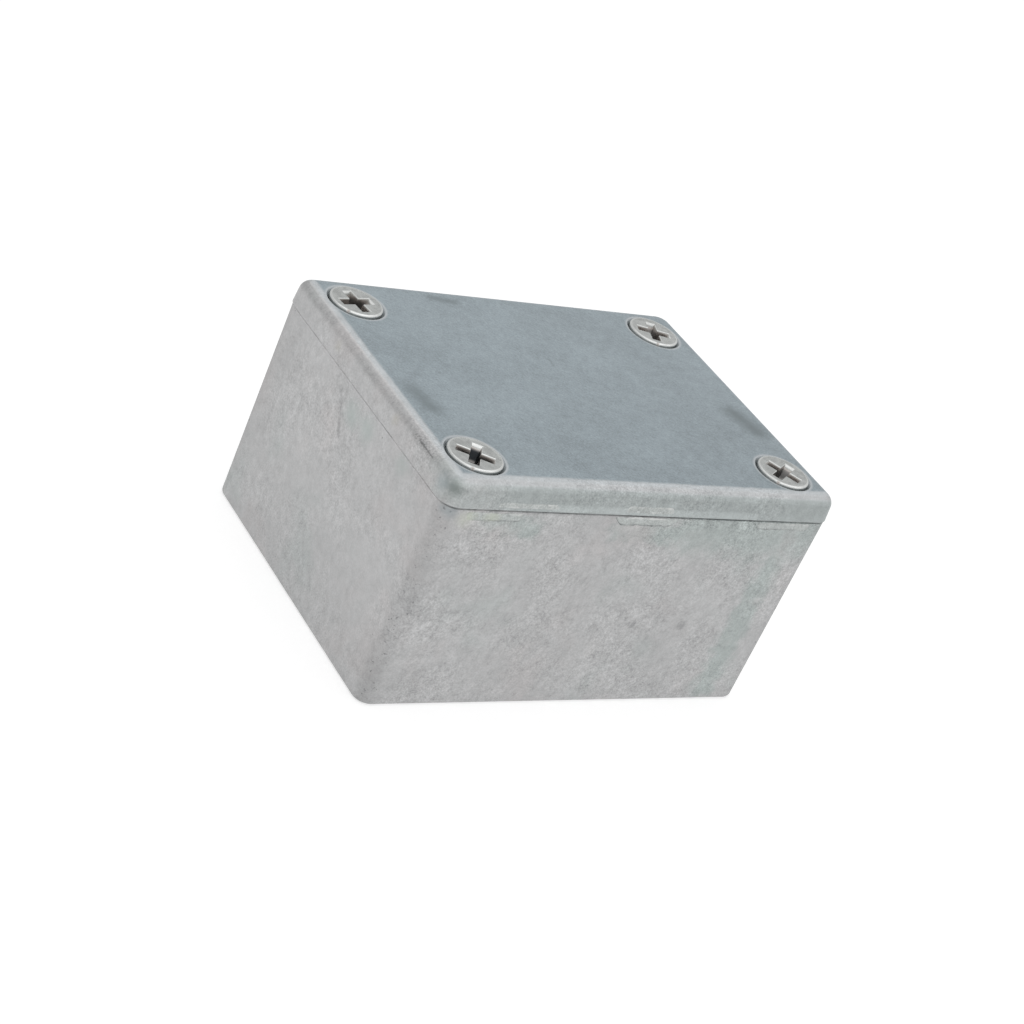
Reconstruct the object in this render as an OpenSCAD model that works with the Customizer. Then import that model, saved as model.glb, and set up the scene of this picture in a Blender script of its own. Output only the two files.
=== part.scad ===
// Small die-cast aluminium electronics enclosure.
// An open base with four corner posts, a lid with a locating lip, and four countersunk screws.
// Millimetres, +Z up, +X along the length, origin at the centre of the underside.

/* [Box] */
// Overall length, measured at the lid's lower edge
box_l = 50.8; // [46:0.1:120]
// Overall width, measured at the lid's lower edge
box_w = 38.1; // [34:0.1:90]
// Corner radius of the lid's outline at the seam
corner_r = 2; // [1.6:0.1:4]
// Chamfer that breaks the two edges at the seam
seam_edge = 0.15; // [0.05:0.05:0.3]

/* [Base] */
// Height of the base, from its underside to the seam
base_h = 24.7; // [18:0.1:40]
// How far the base's rim sits inside the lid's outline
base_set_in = 0.1; // [0:0.05:0.3]
// Thickness of the side walls at the seam
wall_t = 1.8; // [1.4:0.1:2.4]
// Thickness of the floor
floor_t = 1.8; // [1.2:0.1:3]
// Draft of the outer faces, in degrees
base_draft = 0.25; // [0.25:0.25:1]
// Draft of the cavity's faces, in degrees
core_draft = 1; // [0.5:0.25:1.5]
// Radius round the outer edge of the underside
base_edge_r = 0.5; // [0.4:0.1:1.2]
// Fillet between the floor and the walls
floor_fillet_r = 0.8; // [0.4:0.1:1]
// Radius of the rounded inner corner of each post
post_r = 3.4; // [3:0.1:4]

/* [Lid] */
// Height of the lid's edge, from the seam to the top face
lid_h = 2.9; // [2.5:0.1:4]
// Draft of the lid's edge, in degrees
lid_draft = 5; // [3:0.5:12]
// Radius round the lid's top edge
lid_edge_r = 1.2; // [0.6:0.1:1.6]
// Thickness of the lid inside its lip
lid_t = 2; // [1.4:0.1:2.4]
// Depth of the locating lip below the seam
lip_h = 1.5; // [0.8:0.1:3]
// Thickness of the locating lip
lip_t = 1.2; // [0.8:0.1:1.6]
// Clearance between the lip and the base
lip_gap = 0.25; // [0.15:0.05:0.4]

/* [Screws] */
// Distance of each screw from the lid's outline, both ways
screw_inset = 5.1; // [4.8:0.1:6]
// Outside diameter of the thread
screw_d = 3.5; // [2.5:0.1:4]
// Length of a screw over its head
screw_l = 12.7; // [8:0.1:16]
// Diameter of the head
head_d = 6; // [5.5:0.1:6.2]
// Height of the head's top above the lid
head_proud = 0.25; // [0.1:0.05:0.4]
// Radius round the head's top edge
head_edge_r = 0.2; // [0.1:0.05:0.3]
// Mouth diameter of the countersink in the lid
csk_d = 6.6; // [6.4:0.1:7.2]
// Angle of the countersink, in degrees
csk_angle = 90; // [80:1:100]
// Clearance between the head's cone and the countersink
seat_gap = 0.05; // [0.02:0.01:0.1]
// Clearance between a screw and its hole in the lid
hole_gap = 0.25; // [0.1:0.05:0.4]
// Clearance between a screw and its hole in a post
thread_gap = 0.05; // [0.03:0.01:0.1]
// Depth of a post's hole below the screw's tip
hole_spare = 2; // [0.5:0.1:4]
// Chamfer at the screw's tip
tip_chamfer = 0.4; // [0.2:0.1:0.6]

/* [Cross recess] */
// Width of the cross recess over its wings
recess_d = 4.2; // [3.5:0.1:4.8]
// Width of a wing
recess_w = 1; // [0.7:0.1:1.4]
// Depth of the recess
recess_depth = 1.9; // [1.2:0.1:2.2]
// Radius of the recess at its bottom
recess_foot_r = 0.7; // [0.5:0.1:1]

/* [Hidden] */
$fn = 64;

// The four corners, front left first, and how far the recess of the screw in each is turned
corners = [[-1, -1], [1, -1], [-1, 1], [1, 1]];
screw_turns = [56, 32, 8, 70];

// Half angle of the drill point at the foot of a post's hole
drill_half_angle = 59;

// Overlap that keeps cuts clear of shared faces
cut = 1;

// Base outline at the seam, and the cavity's
base_l = box_l - 2 * base_set_in;
base_w = box_w - 2 * base_set_in;
base_r = corner_r - base_set_in;
cavity_l = base_l - 2 * wall_t;
cavity_w = base_w - 2 * wall_t;
cavity_depth = base_h - floor_t;

// Screw axes, and the width of a post that shows inside the walls
screw_x = box_l / 2 - screw_inset;
screw_y = box_w / 2 - screw_inset;
post_side = screw_inset - base_set_in - wall_t + post_r;

// Levels up the box
lid_top = base_h + lid_h;
head_top = lid_top + head_proud;
screw_tip = head_top - screw_l;
pocket_top = lid_top - lid_t;

// Countersink and head: radius lost per millimetre of depth, and the depths of the head's cone
csk_slope = tan(csk_angle / 2);
hole_r = screw_d / 2 + hole_gap;
csk_depth = (csk_d / 2 - hole_r) / csk_slope;
seat_r = csk_d / 2 - seat_gap;
rim_depth = (seat_r - head_d / 2) / csk_slope;
neck_depth = (seat_r - screw_d / 2) / csk_slope;

// Threaded holes in the posts
tap_r = screw_d / 2 + thread_gap;
tap_foot = screw_tip - hole_spare;

// Largest radius that an edge can have on a drafted corner of radius r
function edge_limit(r, h, draft, edge_r) = min(edge_r, 0.95 * (r - h * tan(draft)));

// Section of a drafted edge: from the axis out to radius r, with a chamfer at its foot,
// a side that leans in towards z = h and an arc at its top
module edge_section(r, h, draft, edge_r, chamfer) {
    arc_r = edge_limit(r, h, draft, edge_r);
    arc_z = h - arc_r;
    arc_x = r - (arc_z - chamfer) * tan(draft) - arc_r / cos(draft);
    arc_start = [arc_x + arc_r * cos(draft), arc_z + arc_r * sin(draft)];
    apex = [r - (h - chamfer) * tan(draft), h];
    foot = chamfer > 0 ? [[r - chamfer, 0], [r, chamfer]] : [[r, 0]];
    shoulder = arc_r > 0 ? [arc_start, [arc_x, h]] : [apex];
    polygon(concat([[0, 0]], foot, shoulder, [[0, h]]));
    if (arc_r > 0)
        intersection() {
            translate([arc_x, arc_z])
                circle(arc_r);
            polygon([[arc_x, arc_z], arc_start, apex, [arc_x, h]]);
        }
}

// Copies of a shape in all four corners, mirrored from the one at +X +Y
module in_each_corner() {
    for (x = [0, 1])
        for (y = [0, 1])
            mirror([x, 0, 0])
                mirror([0, y, 0])
                    children();
}

// Section right across a drafted block of width w
module block_section(w, r, h, draft, edge_r, chamfer) {
    flat = w / 2 - r;
    translate([-flat, 0])
        square([2 * flat, h]);
    for (side = [0, 1])
        mirror([side, 0])
            translate([flat, 0])
                edge_section(r, h, draft, edge_r, chamfer);
}

// Block with rounded corners that narrows upwards from its outline l by w at z = 0
module drafted_block(l, w, r, h, draft, edge_r = 0, chamfer = 0) {
    rotate([90, 0, 0])
        linear_extrude(w - 2 * r, center = true)
            block_section(l, r, h, draft, edge_r, chamfer);
    rotate([90, 0, 90])
        linear_extrude(l - 2 * r, center = true)
            block_section(w, r, h, draft, edge_r, chamfer);
    in_each_corner()
        translate([l / 2 - r, w / 2 - r, 0])
            rotate_extrude()
                edge_section(r, h, draft, edge_r, chamfer);
}

// One corner post, widening from its outline at z = 0 to the floor, with its far sides in the walls
module post() {
    spread = cavity_depth * tan(core_draft);
    span = post_side + post_r + cut;
    foot = span + 2 * spread;
    translate([screw_x - post_r + span / 2, screw_y - post_r + span / 2, cavity_depth])
        mirror([0, 0, 1])
            drafted_block(foot, foot, post_r + spread, cavity_depth, core_draft);
}

// Cavity of the base, measured down from the seam
module cavity() {
    difference() {
        drafted_block(cavity_l, cavity_w, post_r, cavity_depth, core_draft, floor_fillet_r);
        in_each_corner()
            post();
    }
}

// Plan of the cavity at the seam, moved in by an inset
module cavity_plan(inset) {
    reach = post_r + inset;
    difference() {
        square([cavity_l - 2 * inset, cavity_w - 2 * inset], center = true);
        in_each_corner()
            translate([screw_x, screw_y]) {
                circle(reach);
                translate([0, -reach])
                    square([post_side, post_side + reach]);
                translate([-reach, 0])
                    square([post_side + reach, post_side]);
            }
    }
}

// Blind hole in a post, with a drill point at its foot
module post_hole() {
    point_h = tap_r / tan(drill_half_angle);
    translate([0, 0, tap_foot])
        cylinder(r = tap_r, h = base_h - tap_foot + cut);
    translate([0, 0, tap_foot - point_h])
        cylinder(r1 = 0, r2 = tap_r, h = point_h);
}

// Base: one casting with drafted walls, a flat floor and a threaded post in each corner
module base() {
    color("silver")
        difference() {
            translate([0, 0, base_h])
                mirror([0, 0, 1])
                    difference() {
                        drafted_block(base_l, base_w, base_r, base_h, base_draft, base_edge_r, seam_edge);
                        cavity();
                    }
            in_each_corner()
                translate([screw_x, screw_y, 0])
                    post_hole();
        }
}

// Screw hole through the lid, with its countersink
module lid_hole() {
    translate([0, 0, base_h - cut])
        cylinder(r = hole_r, h = lid_h + 2 * cut);
    translate([0, 0, lid_top - csk_depth])
        cylinder(r1 = hole_r, r2 = csk_d / 2, h = csk_depth);
}

// Lid: one casting with a drafted edge, a lip that drops inside the base, and four countersinks
module lid() {
    color("lightslategray")
        difference() {
            union() {
                translate([0, 0, base_h])
                    drafted_block(box_l, box_w, corner_r, lid_h, lid_draft, lid_edge_r, seam_edge);
                translate([0, 0, base_h - lip_h])
                    linear_extrude(lip_h + cut)
                        cavity_plan(lip_gap);
            }
            translate([0, 0, base_h - lip_h - cut])
                linear_extrude(pocket_top - base_h + lip_h + cut)
                    cavity_plan(lip_gap + lip_t);
            in_each_corner()
                translate([screw_x, screw_y, 0])
                    lid_hole();
        }
}

// Cross recess, sunk below z = 0
module cross_recess() {
    intersection() {
        for (turn = [0, 90])
            rotate(turn)
                translate([0, 0, -recess_depth / 2])
                    cube([recess_d + cut, recess_w, recess_depth + 2 * cut], center = true);
        translate([0, 0, -recess_depth])
            cylinder(r1 = recess_foot_r, r2 = recess_d / 2, h = recess_depth);
    }
}

// One countersunk screw, its top at z = 0
module screw() {
    rim = rim_depth + head_proud;
    neck = neck_depth + head_proud;
    edge = min(head_edge_r, 0.8 * rim);
    difference() {
        rotate_extrude() {
            polygon([
                [0, 0],
                [head_d / 2 - edge, 0],
                [head_d / 2 - edge, -edge],
                [head_d / 2, -edge],
                [head_d / 2, -rim],
                [screw_d / 2, -neck],
                [screw_d / 2, tip_chamfer - screw_l],
                [screw_d / 2 - tip_chamfer, -screw_l],
                [0, -screw_l]
            ]);
            intersection() {
                translate([head_d / 2 - edge, -edge])
                    circle(edge);
                translate([head_d / 2 - edge, -edge])
                    square(edge);
            }
        }
        cross_recess();
    }
}

// Screws: four alike, seated in the lid and reaching into the posts
module lid_screws() {
    color("gainsboro")
        for (i = [0 : len(corners) - 1])
            translate([corners[i].x * screw_x, corners[i].y * screw_y, head_top])
                rotate(screw_turns[i])
                    screw();
}

base();
lid();
lid_screws();
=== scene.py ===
"""Dresses a small die-cast aluminium electronics box and sets it in a white studio.

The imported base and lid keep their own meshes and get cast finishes. The four screws are made anew with a
formed cross recess and a rolled thread, and the gate marks of the casting are added beside the seam.
Metres, +Z up, +X along the box, origin at the centre of the underside. Named sizes are in millimetres.
"""

from __future__ import annotations

import logging
import math
from collections.abc import Callable, Iterable, Mapping
from dataclasses import dataclass, field
from enum import Enum
from functools import cached_property, reduce
from typing import Any

import bpy
import numpy as np
from mathutils import Matrix, Vector


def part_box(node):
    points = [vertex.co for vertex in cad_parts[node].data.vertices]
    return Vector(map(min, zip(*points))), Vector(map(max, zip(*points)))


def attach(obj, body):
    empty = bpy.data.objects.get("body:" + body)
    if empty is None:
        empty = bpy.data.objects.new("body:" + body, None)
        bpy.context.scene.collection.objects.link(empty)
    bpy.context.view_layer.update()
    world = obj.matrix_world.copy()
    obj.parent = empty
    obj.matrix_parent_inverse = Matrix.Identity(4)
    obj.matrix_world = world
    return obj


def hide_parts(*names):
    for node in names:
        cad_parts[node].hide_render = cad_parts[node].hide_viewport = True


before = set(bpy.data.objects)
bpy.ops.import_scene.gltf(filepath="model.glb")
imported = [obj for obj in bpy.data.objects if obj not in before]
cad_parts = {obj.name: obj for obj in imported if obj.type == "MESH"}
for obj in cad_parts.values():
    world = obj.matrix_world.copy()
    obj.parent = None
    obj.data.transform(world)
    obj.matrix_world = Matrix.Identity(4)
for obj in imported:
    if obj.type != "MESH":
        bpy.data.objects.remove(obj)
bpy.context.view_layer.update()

LOG = logging.getLogger("enclosure")
MM = 0.001

Colour = tuple[float, float, float]
Point = tuple[float, float, float]
Place = tuple[float, float]
Span = tuple[float, float]
Socket = bpy.types.NodeSocket
Piece = bpy.types.Object
Grid = tuple[np.ndarray, np.ndarray, dict[str, np.ndarray]]

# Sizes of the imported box: half its length and width at the seam, and where the screws and their holes are
SEAM_Z = 24.7
BASE_HALF: Place = (25.3, 18.95)
LID_HALF: Place = (25.4, 19.05)
SCREW_AT: Place = (20.3, 13.95)
THREAD_PITCH = 0.794


class Slot(Enum):
    """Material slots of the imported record."""

    BASE = "cast_base"
    LID = "cast_lid"
    SCREW = "screw_steel"


class Body(Enum):
    """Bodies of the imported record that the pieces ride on."""

    BASE = "base"
    LID = "lid"


class Corner(Enum):
    """Corners of the box seen from above, as signs of x and y."""

    FRONT_LEFT = (-1, -1)
    FRONT_RIGHT = (1, -1)
    BACK_LEFT = (-1, 1)
    BACK_RIGHT = (1, 1)


# Shader expressions


def operation(name: str, swapped: bool = False) -> Callable[..., Shade]:
    """Makes a method of Shade that adds one Math node.

    Args:
        name: The Math node's operation.
        swapped: Whether the other operand comes first.

    Returns:
        The method, which takes the other operand if there is one.
    """

    def method(self: Shade, *other: Shade | float) -> Shade:
        """Adds the node."""
        operands = (*other, self) if swapped else (self, *other)
        return self.tree.shade("Math", dict(enumerate(operands)), operation=name)

    return method


class Shade:
    """A value socket that takes part in Python expressions, each of which adds a Math node."""

    __add__ = __radd__ = operation("ADD")
    __sub__ = operation("SUBTRACT")
    __rsub__ = operation("SUBTRACT", swapped=True)
    __mul__ = __rmul__ = operation("MULTIPLY")
    __truediv__ = operation("DIVIDE")
    __abs__ = operation("ABSOLUTE")
    lesser = operation("MINIMUM")
    greater = operation("MAXIMUM")
    sine = operation("SINE")
    root = operation("SQRT")

    def __init__(self, tree: ShaderTree, socket: Socket) -> None:
        """Wraps one output socket of a tree."""
        self.tree, self.socket = tree, socket

    def step(self, start: float, end: float) -> Shade:
        """Goes smoothly from 0 at start to 1 at end, which may be the smaller one."""
        inputs = {"Value": self, "From Min": start, "From Max": end}
        return self.tree.shade("MapRange", inputs, interpolation_type="SMOOTHSTEP")


Shades = tuple[Shade, Shade, Shade]


@dataclass(frozen=True)
class Pattern:
    """A noise: width of one blotch in millimetres, finer layers, strength of each layer, and share in a sum."""

    size: float
    detail: float
    rough: float
    share: float = 1.0


class ShaderTree:
    """A node tree that is emptied and then filled by expressions."""

    def __init__(self, tree: bpy.types.NodeTree) -> None:
        """Empties the tree."""
        self.tree = tree
        tree.nodes.clear()

    def out(self, kind: str, inputs: Mapping[Any, Any], output: Any = 0, **settings: Any) -> Socket:
        """Adds a node.

        Args:
            kind: Blender's name of the node's type, after ShaderNode.
            inputs: Values or links for its sockets, by name or place.
            output: One of its outputs, by name or place.
            settings: Properties, which are set first.

        Returns:
            That output.
        """
        made = self.tree.nodes.new(f"ShaderNode{kind}")
        for name, value in settings.items():
            setattr(made, name, value)
        for key, value in inputs.items():
            value = value.socket if isinstance(value, Shade) else value
            if isinstance(value, Socket):
                self.tree.links.new(value, made.inputs[key])
            else:
                made.inputs[key].default_value = value
        return made.outputs[output]

    def shade(self, kind: str, inputs: Mapping[Any, Any], output: Any = 0, **settings: Any) -> Shade:
        """One output of a new node as a value."""
        return Shade(self, self.out(kind, inputs, output, **settings))

    def close(self, kind: str, surface: Socket) -> None:
        """Leads a surface to a new output node."""
        self.tree.links.new(surface, self.tree.nodes.new(f"ShaderNode{kind}").inputs["Surface"])

    def axes(self, vector: Socket) -> Shades:
        """The three parts of a vector."""
        return tuple(self.shade("SeparateXYZ", {0: vector}, axis) for axis in range(3))


class MaterialTree(ShaderTree):
    """The tree of a new material, whose patterns are read at places on the piece itself."""

    def __init__(self, name: str) -> None:
        """Starts an empty material."""
        self.material = bpy.data.materials.new(name)
        self.material.use_nodes = True
        super().__init__(self.material.node_tree)

    @cached_property
    def place(self) -> Socket:
        """Object coordinates."""
        return self.out("TexCoord", {}, "Object")

    @cached_property
    def mm(self) -> Shades:
        """The three parts of the place, in millimetres."""
        return tuple(part / MM for part in self.axes(self.place))

    def normal(self) -> Shades:
        """The three parts of the surface's direction."""
        return self.axes(self.out("NewGeometry", {}, "Normal"))

    def attribute(self, name: str) -> Shade:
        """A float attribute of the piece's own mesh."""
        return self.shade("Attribute", {}, "Fac", attribute_name=name)

    def drawn_out(self, way: Point, stretch: float) -> Socket:
        """Takes away most of the place's part along one direction, so that a pattern runs on that way.

        Args:
            way: The direction.
            stretch: How many times longer the pattern gets.

        Returns:
            The vector to read the pattern at.
        """
        unit = tuple(Vector(way).normalized())
        along = self.shade("VectorMath", {0: self.place, 1: unit}, "Value", operation="DOT_PRODUCT")
        taken = self.scaled(unit, along * (1.0 - 1.0 / stretch))
        return self.out("VectorMath", {0: self.place, 1: taken}, operation="SUBTRACT")

    def noise(self, pattern: Pattern, at: Socket | None = None) -> Shade:
        """Cloudy noise about zero, mostly within half of its share.

        Args:
            pattern: Its measures.
            at: Where it is read, the place on the piece if left out.

        Returns:
            The noise.
        """
        inputs = {"Vector": self.place if at is None else at, "Scale": 1.0 / (pattern.size * MM)}
        inputs |= {"Detail": pattern.detail, "Roughness": pattern.rough}
        about_zero = self.shade("TexNoise", inputs) - 0.5
        return about_zero if pattern.share == 1.0 else about_zero * pattern.share

    def blend(self, amount: Shade | float, first: Socket | Colour, second: Socket | Colour) -> Socket:
        """Mixes two colours, each in numbers or from a socket, by the share of the second."""
        colours = [(*c, 1.0) if isinstance(c, tuple) else c for c in (first, second)]
        return self.out("Mix", {0: amount, 6: colours[0], 7: colours[1]}, 2, data_type="RGBA")

    def scaled(self, vector: Socket | Colour, amount: Shade) -> Socket:
        """A colour or a vector times a factor."""
        return self.out("VectorMath", {0: vector, "Scale": amount}, operation="SCALE")

    def bump(self, height: Shade, depth: float, strength: float) -> Socket:
        """Surface direction roughened by a share of a height, of which 1 is the depth in millimetres."""
        return self.out("Bump", {"Height": height, "Distance": depth * MM, "Strength": strength})

    def metal(self, colour: Socket, rough: Shade | float, normal: Socket) -> bpy.types.Material:
        """Closes the material with a bare metal surface.

        Args:
            colour: Base colour.
            rough: Roughness.
            normal: Surface direction.

        Returns:
            The material.
        """
        inputs = {"Base Color": colour, "Metallic": 1.0, "Roughness": rough, "Normal": normal}
        self.close("OutputMaterial", self.out("BsdfPrincipled", inputs))
        return self.material


def apart(*parts: Shade) -> Shade:
    """Distance whose parts along the axes are given: the root of the sum of their squares."""
    return sum((part * part for part in parts[1:]), parts[0] * parts[0]).root()


# Finishes


@dataclass(frozen=True)
class Spot:
    """A small discoloured spot about a place in millimetres."""

    at: Point
    reach: float
    colour: Colour
    share: float


@dataclass(frozen=True)
class Streak:
    """A soft straight mark on a face, or a round one where its ends meet.

    It is full within the core, gone past the reach, and a noise times the fray breaks its border.
    """

    start: Place
    end: Place
    reach: float
    core: float
    fray: float
    share: float = 1.0

    def strength(self, across: Shade, along: Shade, ragged: Shade) -> Shade:
        """Strength of the mark, from the distance to its nearest point.

        Args:
            across: First coordinate on the face.
            along: Second coordinate.
            ragged: Noise that breaks its border.

        Returns:
            Strength, up to its share.
        """
        run = (self.end[0] - self.start[0], self.end[1] - self.start[1])
        from_x, from_y = across - self.start[0], along - self.start[1]
        if self.start != self.end:
            nearest = (from_x * run[0] + from_y * run[1]) / (run[0] ** 2 + run[1] ** 2)
            nearest = nearest.greater(0.0).lesser(1.0)
            from_x, from_y = from_x - nearest * run[0], from_y - nearest * run[1]
        return (apart(from_x, from_y) + ragged * self.fray).step(self.reach, self.core) * self.share


def strongest(marks: Iterable[Streak], across: Shade, along: Shade, ragged: Shade) -> Shade:
    """The largest strength of several marks at each point of a face."""
    return reduce(Shade.greater, (mark.strength(across, along, ragged) for mark in marks))


@dataclass(frozen=True)
class CastSkin:
    """Tumbled skin of a die casting: cloudy grey with small blotches, flow streaks, fine grain and dark flecks."""

    grey: Colour = (0.452, 0.453, 0.455)
    green: Colour = (0.398, 0.430, 0.423)
    warm: Colour = (0.462, 0.450, 0.450)
    # Dark colour of flecks, pits, smears and scratches, also used for painted shade in the seam, the countersinks
    # and at the gates
    dirt_and_shade: Colour = (0.085, 0.09, 0.092)
    cloud: Pattern = Pattern(6.0, 3.0, 0.5, 0.18)
    blotch: Pattern = Pattern(1.6, 3.0, 0.6, 0.28)
    streak: Pattern = Pattern(0.7, 2.0, 0.55, 0.4)
    grain: Pattern = Pattern(0.2, 3.0, 0.7)
    patch: Pattern = Pattern(7.0, 2.0, 0.5)
    crease: Pattern = Pattern(1.1, 1.0, 0.5)
    creased: Pattern = Pattern(2.8, 2.0, 0.5)
    fleck: Pattern = Pattern(0.42, 2.0, 0.7)
    drift: Pattern = Pattern(9.6, 3.0, 0.6)
    # Noise that breaks the seam's painted shade
    seam_shade_break: Pattern = Pattern(3.0, 2.0, 0.5, 1.4)
    flow: Point = (0.5, 0.45, 0.74)
    stretch: float = 1.5
    rough: float = 0.52
    grain_rough: float = 0.3
    cast_depth: float = 0.035
    cast_bump: float = 0.6
    # Reach of the seam's painted shade, and where along the front it is darkest and faintest
    seam_reach: Span = (0.18, 0.04)
    seam_dark_x: Span = (-9.0, -1.0)
    seam_faint_x: Span = (12.0, 20.0)
    lip_reach: Span = (0.22, 0.08)
    lip_light: float = 0.18
    spot_fray: float = 0.7
    spots: tuple[Spot, ...] = ()

    def tone(self, tree: MaterialTree) -> tuple[Shade, Shade]:
        """Lightness of the skin, whose streaks and grain are stronger in wide patches.

        Args:
            tree: The material's tree.

        Returns:
            A factor about 1, and the fine grain about 0.
        """
        cloud, blotch, grain = (tree.noise(pattern) for pattern in (self.cloud, self.blotch, self.grain))
        streak = tree.noise(self.streak, tree.drawn_out(self.flow, self.stretch))
        patch = tree.noise(self.patch).step(-0.14, 0.12)
        return 1.0 + cloud + blotch + (streak + grain) * (0.6 + patch * 0.7), grain

    def creases(self, tree: MaterialTree) -> Shade:
        """Thin curved flow marks, where a noise crosses zero, in scattered patches, as a strength from 0 to 1."""
        return abs(tree.noise(self.crease)).step(0.035, 0.0) * tree.noise(self.creased).step(-0.02, 0.12)

    def flecks(self, tree: MaterialTree, worn: Shade) -> Shade:
        """Strength of dark flecks, sparse on the faces and crowded where the skin is worn."""
        return (tree.noise(self.fleck) + worn * 0.09).step(0.19, 0.30)

    def colour(self, tree: MaterialTree, tone: Shade, stain: Shade) -> Socket:
        """Grey that drifts to green and to warm in wide clouds.

        Args:
            tree: The material's tree.
            tone: Lightness about 1.
            stain: Greenness that is added, 0 to 1.

        Returns:
            The colour.
        """
        drift = tree.noise(self.drift)
        greened = tree.blend((drift.step(0.04, 0.25) * 0.45 + stain).lesser(1.0), self.grey, self.green)
        return tree.scaled(tree.blend(drift.step(-0.02, -0.2) * 0.7, greened, self.warm), tone)

    def spotted(self, tree: MaterialTree, ragged: Shade, colour: Socket) -> Socket:
        """Lays the spots over a colour.

        Args:
            tree: The material's tree.
            ragged: Noise that breaks their edges.
            colour: The colour below.

        Returns:
            The colour with the spots.
        """
        for spot in self.spots:
            off = apart(*(part - at for part, at in zip(tree.mm, spot.at))) + ragged * spot.reach * self.spot_fray
            colour = tree.blend(off.step(spot.reach, 0.0) * spot.share, colour, spot.colour)
        return colour

    def seam_shade(self, tree: MaterialTree, front: Shade) -> Shade:
        """Painted shade in the seam gap: dark past the middle of the front, thin and broken elsewhere.

        Args:
            tree: The material's tree.
            front: 1 on the front, 0 elsewhere.

        Returns:
            Strength of the painted shade.
        """
        x, _, z = tree.mm
        full = front * (0.24 + x.step(*self.seam_dark_x) * 0.40 - x.step(*self.seam_faint_x) * 0.25)
        amount = (0.02 + tree.noise(self.seam_shade_break) + full).greater(0.02)
        return abs(z - SEAM_Z).step(*self.seam_reach) * amount

    def from_screw(self, tree: MaterialTree) -> Shade:
        """Distance from the axis of the nearest screw in millimetres."""
        return apart(abs(tree.mm[0]) - SCREW_AT[0], abs(tree.mm[1]) - SCREW_AT[1])

    def seam_lip_light(self, tree: MaterialTree, side: Shade) -> Shade:
        """Painted light on the lips of the seam, which lifts its shade, on a side where 1 is given."""
        return abs(tree.mm[2] - SEAM_Z).step(*self.lip_reach) * side * self.lip_light


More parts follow.
